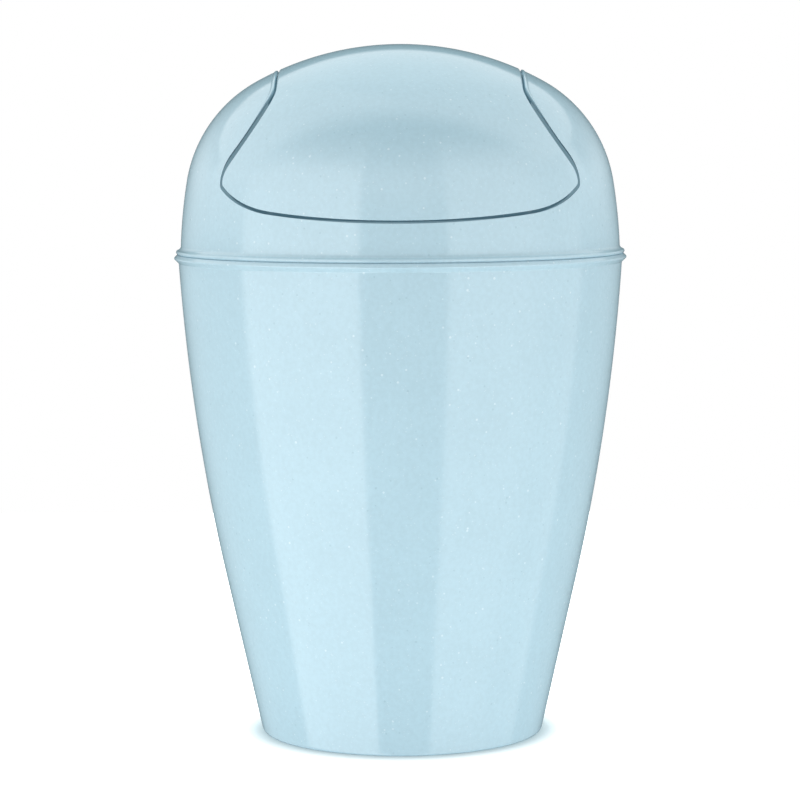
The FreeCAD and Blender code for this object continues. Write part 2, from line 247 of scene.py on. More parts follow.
class StageLook(bpy.types.PropertyGroup):
    camera_distance: length("Camera distance", "From the bin's axis", 1.6)
    camera_height: length("Camera height", "Above the ground", 0.3322)
    camera_tilt: angle("Camera tilt", "Looking down", 5.386)
    camera_roll: angle("Camera roll", "Lean of the camera", -0.25)
    camera_aside: FloatProperty(name="Camera aside", description="Camera off the bin's axis", default=-0.0005,
                                precision=5, unit="LENGTH", subtype="DISTANCE")
    focal_pixels: FloatProperty(name="Focal length", description="In pixels of the photograph's width",
                                default=2941.3, min=1.0)
    ambient: strength("Ambient", "Light from the sides", 0.815)
    overhead: strength("Overhead", "Light from above and in front", 0.675)
    back_gain: strength("Back gain", "Light from above and behind, over that in front", 2.75)
    panel: strength("Panels", "Light panels in reflections", 1.34)
    gap: strength("Gaps", "Gaps between the panels in reflections", 0.145)
    left_light: strength("Left light", "Radiance of the soft light on the left", 1.1)
    right_light: strength("Right light", "Radiance of the soft light on the right", 0.7)
    floor_bounce: strength("Floor bounce", "Floor's own light as it reaches the bin", 0.5)
    floor_lift: strength("Floor lift", "Floor's own light as the camera sees it", 0.9)
    side_tint: colour("Side tint", "Light from the sides", (1.0, 0.90, 0.885, 1.0))
    front_tint: colour("Front tint", "Light from above and in front", (0.73, 0.95, 1.0, 1.0))
    back_tint: colour("Back tint", "Light from above and behind", (0.82, 0.97, 1.0, 1.0))
    gap_tint: colour("Gap tint", "Gaps between the panels in reflections", (0.75, 0.95, 1.0, 1.0))
    floor_tint: colour("Floor tint", "Pale floor", (0.9, 0.9, 0.9, 1.0))
    # Painted shadow: darker, bluish floor colour close to the bin's foot
    painted_shadow_tint: colour("Contact tint", "Floor close to the bin's foot", (0.58, 0.65, 0.66, 1.0))


def owner():
    return bpy.context.scene


def shifted(spot, direction, distance):
    return (spot[0] + distance * direction[0], spot[1] + distance * direction[1])


def unit(vectors):
    return vectors / np.linalg.norm(vectors, axis=-1, keepdims=True)


def settle(rises, low, high):
    """Where a rising function of an array crosses zero, found by halving."""
    for _ in range(HALVINGS):
        middle = (low + high) / 2
        above = rises(middle) > 0
        high = np.where(above, middle, high)
        low = np.where(above, low, middle)
    return (low + high) / 2


class Section:
    """Section of a turned piece in the plane of radius and height, walked with the outside on the right."""

    def __init__(self):
        self.corners = []

    def to(self, spot, rounding=0.0):
        self.corners.append((np.array(spot, float), rounding, None))

    def along(self, spots):
        """Spots of a smooth curve."""
        for spot in spots:
            self.corners.append((np.array(spot, float), None, None))

    def meet(self, spot, normal):
        """End of the section on a surface whose normal there is known."""
        self.corners.append((np.array(spot, float), None, np.array(normal, float)))

    def stations(self):
        """Spots along the section, each with the outward normals before and after it."""
        spots = np.array([spot for spot, _, _ in self.corners])
        steps = unit(np.diff(spots, axis=0))
        sides = np.stack([steps[:, 1], -steps[:, 0]], 1)
        sides = np.concatenate([sides[:1], sides, sides[-1:]])
        found = []
        for (spot, rounding, normal), before, after in zip(self.corners, sides, sides[1:]):
            if normal is not None:
                found.append((spot, normal, normal))
            elif rounding is None:
                middle = unit(before + after)
                found.append((spot, middle, middle))
            elif rounding == 0.0:
                found.append((spot, before, after))
            else:
                found += self.rounded(spot, before, after, rounding)
        return found

    @staticmethod
    def rounded(spot, before, after, rounding):
        turn = math.atan2(before[0] * after[1] - before[1] * after[0], float(before @ after))
        hand = math.copysign(1.0, turn)
        ahead = np.array([-before[1], before[0]])
        start = spot - ahead * rounding * math.tan(abs(turn) / 2)
        centre = start - hand * rounding * before
        steps = max(3, math.ceil(abs(turn) / ARC_STEP))
        found = []
        for turned in np.linspace(0, turn, steps + 1):
            normal = np.array([before[0] * math.cos(turned) - before[1] * math.sin(turned),
                               before[0] * math.sin(turned) + before[1] * math.cos(turned)])
            found.append((centre + hand * rounding * normal, normal, normal))
        return found


class Skin:
    """Closed skin of a moulding: shared points, and faces with a normal at each corner."""

    def __init__(self):
        self.spots = []
        self.faces = []
        self.count = 0

    def points(self, spots):
        ids = np.arange(self.count, self.count + len(spots))
        self.spots.append(np.asarray(spots, float))
        self.count += len(spots)
        return ids

    def cover(self, ids, normals, finish=0):
        self.faces.append((np.asarray(ids), np.asarray(normals, float), finish))

    def band(self, first, second, first_normals, second_normals):
        """Faces between two closed loops of as many points."""
        ids = [first, np.roll(first, -1), np.roll(second, -1), second]
        normals = [first_normals, np.roll(first_normals, -1, 0),
                   np.roll(second_normals, -1, 0), second_normals]
        self.cover(np.stack(ids, 1), np.stack(normals, 1))

    def fan(self, loop, centre, normal):
        """Faces from a closed loop to one point, all with one normal."""
        ids = np.stack([loop, np.roll(loop, -1), np.full(len(loop), centre)], 1)
        self.cover(ids, np.broadcast_to(normal, (len(loop), 3, 3)))

    def turn(self, stations, azimuths, first=None, last=None):
        """Turn a section about the upright axis; first and last are loops that it shares."""
        compass = np.stack([np.cos(azimuths), np.sin(azimuths)], 1)

        def ring(spot):
            return np.column_stack([compass * spot[0], np.full(len(compass), spot[1])])

        rings = []
        for index, (spot, _, _) in enumerate(stations):
            if index == 0 and first is not None:
                rings.append(first)
            elif index == len(stations) - 1 and last is not None:
                rings.append(last)
            elif spot[0] < ON_AXIS:
                rings.append(self.points([(0, 0, spot[1])]))
            else:
                rings.append(self.points(ring(spot)))
        for index in range(len(stations) - 1):
            here, there = rings[index], rings[index + 1]
            if len(here) == 1:
                self.fan(there, here[0], (0, 0, stations[index][2][1]))
            elif len(there) == 1:
                self.fan(here, there[0], (0, 0, stations[index][2][1]))
            else:
                self.band(here, there, ring(stations[index][2]), ring(stations[index + 1][1]))
        return rings

    def patch(self, plan, ids, normals, outer, hole=None, finish=0):
        """Triangles between points laid out on a plan, inside one closed loop and outside another."""
        edges = []
        start = 0
        for loop in (outer, hole):
            if loop is not None:
                edges += [(start + k, start + (k + 1) % len(loop)) for k in range(len(loop))]
                start += len(loop)
        spots = [Vector(spot) for spot in plan * PLAN_SCALE]
        found = delaunay_2d_cdt(spots, edges, [], 0, PLAN_TOLERANCE)
        origin = np.array([before[0] for before in found[3]])
        faces = origin[np.array(found[2])]
        middle = plan[faces].mean(1)
        keep = inside(middle, outer)
        if hole is not None:
            keep &= ~inside(middle, hole)
        faces = faces[keep]
        self.cover(ids[faces], normals[faces], finish)

    def mesh(self, name):
        spots = np.concatenate(self.spots)
        faces = []
        normals = []
        finishes = []
        for ids, corner_normals, finish in self.faces:
            corners = spots[ids]
            facing = np.cross(corners[:, 2] - corners[:, 0], corners[:, -1] - corners[:, 1])
            if ids.shape[1] == 3:
                facing = np.cross(corners[:, 1] - corners[:, 0], corners[:, 2] - corners[:, 0])
            wrong = (facing * corner_normals.mean(1)).sum(1) < 0
            ids = np.where(wrong[:, None], ids[:, ::-1], ids)
            corner_normals = np.where(wrong[:, None, None], corner_normals[:, ::-1], corner_normals)
            faces += ids.tolist()
            normals.append(unit(corner_normals).reshape(-1, 3))
            finishes += [finish] * len(ids)
        data = bpy.data.meshes.new(name)
        data.from_pydata(spots.tolist(), [], faces)
        data.shade_smooth()
        data.polygons.foreach_set("material_index", finishes)
        data.normals_split_custom_set(np.concatenate(normals).tolist())
        return data


def inside(spots, loop):
    """Which spots of a plan lie inside a closed loop."""
    crossed = np.zeros(len(spots), bool)
    ends = np.roll(loop, -1, 0)
    for start, end in zip(loop, ends):
        if start[1] == end[1]:
            continue
        spans = (start[1] > spots[:, 1]) != (end[1] > spots[:, 1])
        cut = start[0] + (spots[:, 1] - start[1]) * (end[0] - start[0]) / (end[1] - start[1])
        crossed ^= spans & (spots[:, 0] < cut)
    return crossed


class BodyWall:
    """Body wall: a straight taper, then one arc that bends it towards the mouth."""

    def __init__(self, sizes):
        foot = (sizes.base_radius, 0.0)
        span = (sizes.mouth_radius - sizes.base_radius, sizes.height)
        run = math.hypot(*span)
        outward = (span[1] / run, -span[0] / run)
        corner = shifted(shifted(foot, span, sizes.bend_share), outward, sizes.wall_bulge)
        self.taper = math.atan2(corner[0] - foot[0], corner[1])
        mouth_lean = math.atan2(sizes.mouth_radius - corner[0], sizes.height - corner[1])
        tangent = math.dist(corner, (sizes.mouth_radius, sizes.height))
        self.radius = tangent / math.tan((self.taper - mouth_lean) / 2)
        self.inward = (-math.cos(self.taper), math.sin(self.taper))
        self.bend = shifted(corner, (math.sin(self.taper), math.cos(self.taper)), -tangent)
        self.centre = shifted(self.bend, self.inward, self.radius)
        self.foot = foot

    def point(self, inset, height):
        if height <= self.bend[1] + inset * self.inward[1]:
            return (self.foot[0] + height * math.tan(self.taper) - inset / math.cos(self.taper), height)
        reach = math.sqrt((self.radius - inset) ** 2 - (height - self.centre[1]) ** 2)
        return (self.centre[0] + reach, height)

    def points(self, inset, heights):
        return [self.point(inset, height) for height in heights]


class Dome:
    """Dome of lid and flap: crown, shoulder and barrelled side as arcs that meet tangentially."""

    def __init__(self, body, lid):
        seat = body.height
        self.apex = seat + lid.dome_rise
        self.foot_radius = body.mouth_radius - lid.dome_inset
        side_outward = (math.cos(lid.dome_lean), math.sin(lid.dome_lean))
        side_centre = shifted((self.foot_radius, seat), side_outward, -lid.side_radius)
        shoulder_angle = math.asin((seat + lid.shoulder_height - side_centre[1]) / lid.side_radius)
        outward = (math.cos(shoulder_angle), math.sin(shoulder_angle))
        start = shifted(side_centre, outward, lid.side_radius)
        down = (outward[1], -outward[0])
        crown_spread = lid.crown_share * self.foot_radius
        rise = (start[0], start[1] - self.apex)
        rise_down = rise[0] * down[0] + rise[1] * down[1]
        shoulder_spread = (math.hypot(*rise) ** 2 / 2 - crown_spread * rise[0]) / (
            rise_down - crown_spread * (down[0] - 1))
        corner = shifted(start, down, -shoulder_spread)
        crown_fall = math.atan2(self.apex - corner[1], corner[0] - crown_spread)
        shoulder_fall = math.pi / 2 - shoulder_angle - crown_fall
        crown_radius = crown_spread / math.tan(crown_fall / 2)
        shoulder_radius = shoulder_spread / math.tan(shoulder_fall / 2)
        shoulder_centre = shifted(start, outward, -shoulder_radius)
        crown_run = crown_radius * crown_fall
        shoulder_run = shoulder_radius * shoulder_fall
        self.arcs = [
            ((0.0, self.apex - crown_radius), crown_radius, 0.0, 0.0),
            (shoulder_centre, shoulder_radius, crown_fall, crown_run),
            (side_centre, lid.side_radius, math.pi / 2 - shoulder_angle, crown_run + shoulder_run),
        ]
        self.reach = crown_run + shoulder_run + 1.5 * lid.shoulder_height

    def section(self, run, inset=0.0):
        """Radius, height and normal at a run along the outer face from the apex, moved in by inset."""
        run = np.asarray(run, float)
        starts = [arc[3] for arc in self.arcs]
        place = np.searchsorted(starts[1:], run, side="right")
        centres = np.array([arc[0] for arc in self.arcs])[place]
        radii = np.array([arc[1] for arc in self.arcs])[place]
        tilt = np.array([arc[2] for arc in self.arcs])[place] + (run - np.array(starts)[place]) / radii
        normal_r, normal_z = np.sin(tilt), np.cos(tilt)
        radius = centres[..., 0] + (radii - inset) * normal_r
        height = centres[..., 1] + (radii - inset) * normal_z
        return radius, height, normal_r, normal_z

    def spots(self, run, azimuth, inset=0.0):
        """Points of the dome and their outward normals."""
        radius, height, normal_r, normal_z = self.section(run, inset)
        east, north = np.cos(azimuth), np.sin(azimuth)
        points = np.stack([radius * east, radius * north, height], -1)
        normals = np.stack([normal_r * east, normal_r * north, normal_z], -1)
        return points, normals

    def run_at_radius(self, radius, inset=0.0):
        radius = np.asarray(radius, float)
        low, high = np.zeros_like(radius), np.full_like(radius, self.reach)
        return settle(lambda run: self.section(run, inset)[0] - radius, low, high)

    def run_at_height(self, height, inset=0.0):
        height = np.asarray(height, float)
        low, high = np.zeros_like(height), np.full_like(height, self.reach)
        return settle(lambda run: height - self.section(run, inset)[1], low, high)

    def height_over(self, radius, inset=0.0):
        return self.section(self.run_at_radius(radius, inset), inset)[1]


class FlapEdge:
    """Edge of the flap: tangent arcs in a plane through the pivot axis, turned about that axis."""

    counts = {"sill": 64, "corner": 40, "tip": 30, "flank": 6, "waist": 36, "neck": 30}

    def __init__(self, dome, body, flap):
        self.dome = dome
        self.flap = flap
        self.neck = dome.foot_radius - flap.ear_width - flap.edge_gap
        self.headings = np.cumsum([flap.sill_turn, flap.corner_turn, flap.tip_turn])
        sill, corner, tip = self.headings
        corner_width = flap.corner_radius * (math.sin(corner) - math.sin(sill))
        tip_width = flap.tip_radius * (1 - math.sin(corner))
        self.sill_radius = (dome.foot_radius - flap.tip_margin - corner_width - tip_width) / math.sin(sill)
        sill_run = dome.run_at_height(body.height + flap.sill_height)
        radius, height = dome.section(sill_run)[:2]
        self.sill_reach = math.hypot(float(radius), flap.pivot_height - float(height))
        end = self.arcs(0.0, 0.0)[1]
        self.waist_radius = (end[0] - self.neck + flap.flank_length * math.cos(tip)) / (1 - math.sin(tip))

    def arcs(self, grow, relief):
        """Spots and normals from the sill round the tip, and where they end."""
        flap = self.flap
        radii = (self.sill_radius + grow, flap.corner_radius + grow, flap.tip_radius + grow + relief)
        spot = np.array([0.0, self.sill_reach + grow])
        heading = 0.0
        found = []
        for radius, ahead, kind in zip(radii, self.headings, ("sill", "corner", "tip")):
            centre = spot - radius * np.array([math.sin(heading), math.cos(heading)])
            headings = np.linspace(heading, ahead, self.counts[kind] + 1)[1 if found else 0:]
            normals = np.stack([np.sin(headings), np.cos(headings)], 1)
            found.append((centre + radius * normals, normals))
            spot = found[-1][0][-1]
            heading = ahead
        return found, spot

    def chain(self, grow, relief):
        """Spots and normals of the whole turned edge on one side, from the sill to the waist."""
        found, spot = self.arcs(grow, relief)
        heading = self.headings[-1]
        side = np.array([math.sin(heading), math.cos(heading)])
        ahead = np.array([math.cos(heading), -math.sin(heading)])
        bend = self.waist_radius - grow
        neck = self.neck + grow
        flank = (spot[0] - neck - bend * (1 - math.sin(heading))) / -math.cos(heading)
        steps = np.linspace(0, flank, self.counts["flank"] + 1)[1:, None]
        found.append((spot + steps * ahead, np.broadcast_to(side, (len(steps), 2))))
        centre = spot + flank * ahead + bend * side
        headings = np.linspace(heading, math.pi / 2, self.counts["waist"] + 1)[1:]
        normals = np.stack([np.sin(headings), np.cos(headings)], 1)
        found.append((centre - bend * normals, normals))
        spots, normals = zip(*found)
        return np.concatenate(spots), np.concatenate(normals)

    def size(self):
        return sum(self.counts.values()) + 1

    def ease(self, sill, neck):
        """A width along one quarter of the edge: one value up to the flank, easing to another at the neck."""
        before = self.size() - self.counts["neck"] - self.counts["waist"]
        place = np.clip((np.arange(self.size()) - before) / self.counts["waist"], 0, 1)
        return sill + (neck - sill) * place * place * (3 - 2 * place)

    def swell(self, width):
        """A width along one quarter of the edge that is widest half way up the waist."""
        place = self.ease(0.0, 1.0)
        return 4 * width * place * (1 - place)

    def quarter(self, grow, relief, shift, inset):
        """Runs and azimuths of one quarter of the edge at an inset, moved by shift along the dome."""
        spots, normals = self.chain(grow, relief)
        moved = spots + np.asarray(shift)[:len(spots), None] * normals
        across, reach = moved[:, 0], moved[:, 1]
        pivot = self.flap.pivot_height

        def beyond(run):
            radius, height = self.dome.section(run, inset)[:2]
            return radius ** 2 - across ** 2 + (height - pivot) ** 2 - reach ** 2

        run = settle(beyond, np.zeros(len(across)), np.full(len(across), self.dome.reach))
        radius = self.dome.section(run, inset)[0]
        back = np.sqrt(np.maximum(radius ** 2 - across ** 2, 0))
        steps = np.linspace(1, 0, self.counts["neck"] + 1)[1:]
        neck_across = self.neck + grow + np.asarray(shift)[len(spots):]
        neck_back = back[-1] * steps
        neck_run = self.dome.run_at_radius(np.hypot(neck_across, neck_back), inset)
        runs = np.concatenate([run, neck_run])
        azimuths = np.concatenate([-np.arctan2(back, across), -np.arctan2(neck_back, neck_across)])
        return runs, azimuths

    def loop(self, grow, relief, shift, inset):
        """Runs and azimuths of the whole closed edge, starting at the front."""
        runs, azimuths = self.quarter(grow, relief, shift, inset)
        turned = [azimuths, -azimuths[-2::-1], math.pi + azimuths[1:], math.pi - azimuths[-2:0:-1]]
        return self.round_all(runs), np.concatenate(turned)

    def round_all(self, values):
        """Values along one quarter, repeated round the whole closed edge."""
        values = np.broadcast_to(values, self.size())
        return np.concatenate([values, values[-2::-1], values[1:], values[-2:0:-1]])

    def points(self, grow, relief, shift, inset):
        return self.dome.spots(*self.loop(grow, relief, shift, inset), inset)


def plan_of(runs, azimuths):
    return np.stack([runs * np.cos(azimuths), runs * np.sin(azimuths)], -1)


def grid(step, reach):
    """Even points in a hexagonal pattern over a round plan."""
    rows = np.arange(-reach, reach, step * math.sqrt(3) / 2)
    columns = np.arange(-reach, reach, step)
    spots = [np.stack([columns + step * (index % 2) / 2, np.full(len(columns), row)], 1)
             for index, row in enumerate(rows)]
    return np.concatenate(spots)


def filling(step, outer, hole=None):
    """Points of the grid that lie well inside one loop and outside another."""
    loops = [outer] if hole is None else [outer, hole]
    spots = grid(step, np.linalg.norm(outer, axis=1).max() + step)
    keep = inside(spots, outer)
    if hole is not None:
        keep &= ~inside(spots, hole)
    spots = spots[keep]
    edge = np.concatenate(loops)
    tree = KDTree(len(edge))
    for index, spot in enumerate(edge):
        tree.insert((spot[0], spot[1], 0), index)
    tree.balance()
    clear = [tree.find((spot[0], spot[1], 0))[2] > EDGE_MARGIN * step for spot in spots]
    return spots[np.array(clear)]


def dome_patch(skin, dome, step, inset, outer, hole=None):
    """Cover part of the dome's face at an inset; outer and hole are loops of (ids, runs, azimuths)."""
    loops = [outer] if hole is None else [outer, hole]
    plans = [plan_of(runs, azimuths) for _, runs, azimuths in loops]
    extra = filling(step, *plans)
    runs = np.linalg.norm(extra, axis=1)
    azimuths = np.arctan2(extra[:, 1], extra[:, 0])
    points = dome.spots(runs, azimuths, inset)[0]
    ids = np.concatenate([loop[0] for loop in loops] + [skin.points(points)])
    runs = np.concatenate([loop[1] for loop in loops] + [runs])
    azimuths = np.concatenate([loop[2] for loop in loops] + [azimuths])
    normals = dome.spots(runs, azimuths, inset)[1]
    if inset:
        normals = -normals
    hole_plan = plans[1] if hole is not None else None
    skin.patch(np.concatenate(plans + [extra]), ids, normals, plans[0], hole_plan, 1 if inset else 0)


def edge_bands(skin, edge, wall, grow, relief, trim, undercut, outer_shift, inner_shift, side, roll=0.0):
    """Rounded edge wall from the outer face to the inner face; side is 1 where the moulding ends outwards."""
    corner = edge.points(grow, relief, trim, 0.0)[0]
    inner_trim = trim - side * undercut
    inner_corner = edge.points(grow, relief, inner_trim, wall)[0]
    nudge = wall / 10
    beyond = edge.points(grow, relief, trim + nudge, 0.0)[0] - corner
    tangent = np.roll(corner, -1, 0) - np.roll(corner, 1, 0)
    wall_normal = unit(np.cross(tangent, inner_corner - corner))
    facing = np.sign((wall_normal * beyond).sum(1)) * side
    wall_normal = wall_normal * facing[:, None]

    outer_loop = edge.loop(grow, relief, trim - side * outer_shift, 0.0)
    inner_loop = edge.loop(grow, relief, inner_trim - side * inner_shift, wall)
    outer, outer_normal = edge.dome.spots(*outer_loop, 0.0)
    inner, inner_normal = edge.dome.spots(*inner_loop, wall)
    depth = unit(inner_corner - corner)
    outer_width = np.linalg.norm(outer - corner, axis=1)[:, None]
    inner_width = np.linalg.norm(inner - inner_corner, axis=1)[:, None]
    below = corner + depth * np.minimum(outer_width, EDGE_SHARE * wall)
    above = inner_corner - depth * np.minimum(inner_width, EDGE_SHARE * wall)

    raised = corner + outer_normal * edge.round_all(roll)[:, None]
    rows = []
    for start, bend, end, first, last in ((outer, raised, below, outer_normal, wall_normal),
                                          (above, inner_corner, inner, wall_normal, -inner_normal)):
        for step in np.linspace(0, 1, EDGE_STEPS):
            spot = (1 - step) ** 2 * start + 2 * step * (1 - step) * bend + step ** 2 * end
            across = (1 - step) * (bend - start) + step * (end - bend)
            normal = unit(np.cross(np.roll(spot, -1, 0) - np.roll(spot, 1, 0), across))
            facing = np.sign((normal * ((1 - step) * first + step * last)).sum(1))
            rows.append((spot, normal * facing[:, None]))
    ids = [skin.points(spots) for spots, _ in rows]
    for index in range(len(rows) - 1):
        skin.band(ids[index], ids[index + 1], rows[index][1], rows[index + 1][1])
    return (ids[0],) + outer_loop, (ids[-1],) + inner_loop


def add_piece(name, data, body, slot, materials, *nodes):
    """Put a mesh in the scene as a piece that rides on a body and stands for CAD nodes."""
    piece = bpy.data.objects.new(name, data)
    owner().collection.objects.link(piece)
    for material in materials:
        data.materials.append(material)
    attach(piece, body)
    if nodes:
        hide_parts(*nodes)
    return piece


def compass(sides):
    return np.linspace(0, 2 * math.pi, sides, endpoint=False)


def touch(spot, centre, radius, side):
    """Point where a line from a spot touches a circle, on one side or the other."""
    facing = math.atan2(spot[1] - centre[1], spot[0] - centre[0])
    turned = facing + side * math.acos(radius / math.dist(centre, spot))
    return shifted(centre, (math.cos(turned), math.sin(turned)), radius)


def lip_corner(start, tip, rounding, end):
    """Sharp corner of a lip whose rounded tip reaches a given point between two flanks."""
    centre = (tip[0] - rounding, tip[1])
    first = touch(start, centre, rounding, 1)
    last = touch(end, centre, rounding, -1)
    middle = ((first[0] + last[0]) / 2, (first[1] + last[1]) / 2)
    spread = math.dist(first, last) / 2
    depth = math.dist(centre, middle)
    outward = ((middle[0] - centre[0]) / depth, (middle[1] - centre[1]) / depth)
    return shifted(middle, outward, spread ** 2 / depth)


def flared_lip(start, tip, rounding, side, flare):
    """Spots round a lip's tip and up the hollow rounding that runs into an upright wall."""
    centre = (tip[0] - rounding, tip[1])
    first = touch(start, centre, rounding, 1)
    reach = side + flare - centre[0]
    hub = (side + flare, centre[1] + math.sqrt((flare + rounding) ** 2 - reach ** 2))
    meeting = math.atan2(hub[1] - centre[1], reach)
    begin = math.atan2(first[1] - centre[1], first[0] - centre[0])
    tip_arc = circle(centre, rounding, begin, meeting, TIP_STEPS)
    flare_arc = circle(hub, flare, meeting + math.pi, math.pi, FLARE_STEPS)
    return np.concatenate([tip_arc, flare_arc[1:]])


class BuildBody(bpy.types.Operator):
    """Turn the tapered body with its rim, floor and foot ring"""
    bl_idname = "swing_lid_bin.body"
    bl_label = "Body"

    outer_steps = 110
    inner_steps = 80
    foot_margin = 0.006
    rim_margin = 0.004

    def execute(self, context):
        sizes = context.scene.bin_body
        wall = BodyWall(sizes)
        floor_top = sizes.foot_recess + sizes.floor_thickness
        foot_inner = sizes.base_radius - sizes.foot_width
        inner_floor = wall.point(sizes.wall, floor_top)
        inner_mouth = wall.point(sizes.wall, sizes.height)
        rim_neck = wall.point(0, sizes.height - sizes.rim_depth)
        rim_tip = (sizes.mouth_radius + sizes.rim_overhang, sizes.height - sizes.rim_fall)
        land_end = (inner_mouth[0] + sizes.rim_land, sizes.height)
        outer_top = rim_neck[1] - self.rim_margin
        inner_top = sizes.height - self.rim_margin
        inner_bottom = floor_top + 2 * sizes.floor_round
        outer_heights = np.linspace(self.foot_margin, outer_top, self.outer_steps)
        inner_heights = np.linspace(inner_top, inner_bottom, self.inner_steps)

        section = Section()
        section.to((0, sizes.foot_recess))
        section.to((foot_inner, sizes.foot_recess), sizes.edge_round)
        section.to((foot_inner, 0), sizes.edge_round)
        section.to(wall.foot, sizes.foot_round)
        section.along(wall.points(0, outer_heights))
        section.to(rim_neck, sizes.rim_neck_round)
        section.to(lip_corner(rim_neck, rim_tip, sizes.rim_tip_round, land_end), sizes.rim_tip_round)
        section.to(land_end)
        section.to(inner_mouth, sizes.edge_round / 2)
        section.along(wall.points(sizes.wall, inner_heights))
        section.to(inner_floor, sizes.floor_round)
        section.to((0, floor_top))

        skin = Skin()
        skin.turn(section.stations(), compass(sizes.sides))
        material = [speckled_plastic()]
        add_piece("bin_shell", skin.mesh("bin_shell"), "bin", "speckled_plastic", material, "bin_body")
        return {"FINISHED"}


def shapes(scene):
    """Sizes of body, lid and flap, and the dome and the flap's edge that come from them."""
    body, lid, flap = scene.bin_body, scene.bin_lid, scene.bin_flap
    dome = Dome(body, lid)
    return body, lid, flap, dome, FlapEdge(dome, body, flap)


class BuildLid(bpy.types.Operator):
    """Make the domed lid with its bead, skirt and opening, and the pivot lugs under its ears"""
    bl_idname = "swing_lid_bin.lid"
    bl_label = "Lid"

    def execute(self, context):
        body, lid, flap, dome, edge = shapes(context.scene)
        skin = Skin()
        ear = edge.ease(lid.sill_round, lid.ear_round)
        inner_round = np.full(edge.size(), lid.sill_round)
        opening, inner_opening = edge_bands(skin, edge, lid.wall, flap.edge_gap, flap.tip_relief,
                                            edge.swell(lid.flank_room), edge.ease(lid.undercut, 0.0),
                                            ear, inner_round, -1, edge.ease(0.0, lid.ear_roll))
        azimuths = compass(body.sides)
        seat = body.height
        collar_run = dome.run_at_height(np.full(len(azimuths), seat + lid.bead_height + lid.collar))
        collar = skin.points(dome.spots(collar_run, azimuths)[0])
        dome_patch(skin, dome, lid.mesh_step, 0.0, (collar, collar_run, azimuths), opening)
        inner_run = dome.run_at_height(np.full(len(azimuths), seat + lid.bead_height), lid.wall)
        inner_ring = skin.points(dome.spots(inner_run, azimuths, lid.wall)[0])
        dome_patch(skin, dome, lid.mesh_step, lid.wall, (inner_ring, inner_run, azimuths), inner_opening)
        bead = self.bead(body, lid, dome, float(collar_run[0]), float(inner_run[0]))
        skin.turn(bead, azimuths, collar, inner_ring)
        # The second material, for the inner faces, carries the painted glow
        material = [speckled_plastic(), speckled_plastic(True)]
        add_piece("lid_shell", skin.mesh("lid_shell"), "lid", "speckled_plastic", material, "lid_dome")
        for name, hand in (("lid_lug_right", 1), ("lid_lug_left", -1)):
            lug = lug_mesh(name, dome, edge, hand)
            add_piece(name, lug, "lid", "speckled_plastic", material, "lid_dome")
        return {"FINISHED"}

    @staticmethod
    def bead(body, lid, dome, collar_run, inner_run):
        """Section from the collar round the bead and down the plug skirt to the dome's inner face."""
        seat = body.height
        wall = BodyWall(body)
        skirt_inset = body.wall + lid.skirt_clearance
        skirt_top = wall.point(skirt_inset, seat)
        skirt_end = wall.point(skirt_inset, seat - lid.skirt_depth)
        bead_tip = (body.mouth_radius + body.rim_overhang - lid.bead_setback, seat + lid.bead_rise)
        land_end = (skirt_top[0] + lid.bead_land, seat)
        collar = [float(value) for value in dome.section(collar_run)]
        inner = [float(value) for value in dome.section(inner_run, lid.wall)]
        side = float(dome.section(dome.run_at_height(seat + lid.bead_height))[0])

        section = Section()
        section.meet(inner[:2], (-inner[2], -inner[3]))
        section.to((skirt_top[0] - lid.skirt_wall, seat), lid.skirt_round)
        section.to((skirt_end[0] - lid.skirt_wall, skirt_end[1]), lid.skirt_round / 2)
        section.to(skirt_end, lid.skirt_round)
        section.to(skirt_top)
        section.to(land_end)
        section.along(flared_lip(land_end, bead_tip, lid.bead_tip_round, side, lid.bead_flare))
        section.meet(collar[:2], collar[2:])
        return [(spot, after, before) for spot, before, after in section.stations()[::-1]]


class BuildFlap(bpy.types.Operator):
    """Make the swing flap that drapes over the dome, and the webs that carry its pins"""
    bl_idname = "swing_lid_bin.flap"
    bl_label = "Flap"

    def execute(self, context):
        _, lid, flap, dome, edge = shapes(context.scene)
        skin = Skin()
        outer_round = edge.ease(flap.edge_round, flap.neck_round)
        inner_round = np.full(edge.size(), flap.edge_round)
        trim = edge.ease(flap.sill_reach, 0.0)
        outer, inner = edge_bands(skin, edge, lid.wall, 0.0, 0.0, trim, edge.ease(lid.undercut, 0.0),
                                  outer_round, inner_round, 1)
        dome_patch(skin, dome, lid.mesh_step, 0.0, outer)
        dome_patch(skin, dome, lid.mesh_step, lid.wall, inner)
        # The second material, for the inner faces, carries the painted glow
        material = [speckled_plastic(), speckled_plastic(True)]
        add_piece("flap_shell", skin.mesh("flap_shell"), "flap", "speckled_plastic", material, "swing_flap")
        for name, hand in (("flap_web_right", 1), ("flap_web_left", -1)):
            web = web_mesh(name, dome, edge, hand)
            add_piece(name, web, "flap", "speckled_plastic", material, "swing_flap")
        return {"FINISHED"}


def pivot_places(edge):
    """Positions along the pivot axis of the lug, boss and web on the right."""
    pivot = owner().bin_pivot
    lug_face = edge.neck + edge.flap.edge_gap + pivot.lug_setback
    boss_end = lug_face - pivot.side_play
    web_outer = boss_end - pivot.boss_length
    return lug_face, lug_face + pivot.lug_thickness, boss_end, web_outer, web_outer - pivot.web_thickness


def circle(centre, radius, start, end, steps):
    """Spots along an arc, both ends included."""
    turned = np.linspace(start, end, steps)
    return np.stack([centre[0] + radius * np.cos(turned), centre[1] + radius * np.sin(turned)], 1)


def ring(centre, radius, sides):
    """Spots round a whole circle."""
    return circle(centre, radius, 0, 2 * math.pi, sides + 1)[:-1]


def under_dome(dome, across, back, inset):
    """Heights of the dome over points at one place along the pivot axis."""
    return dome.height_over(np.hypot(across, back), inset)


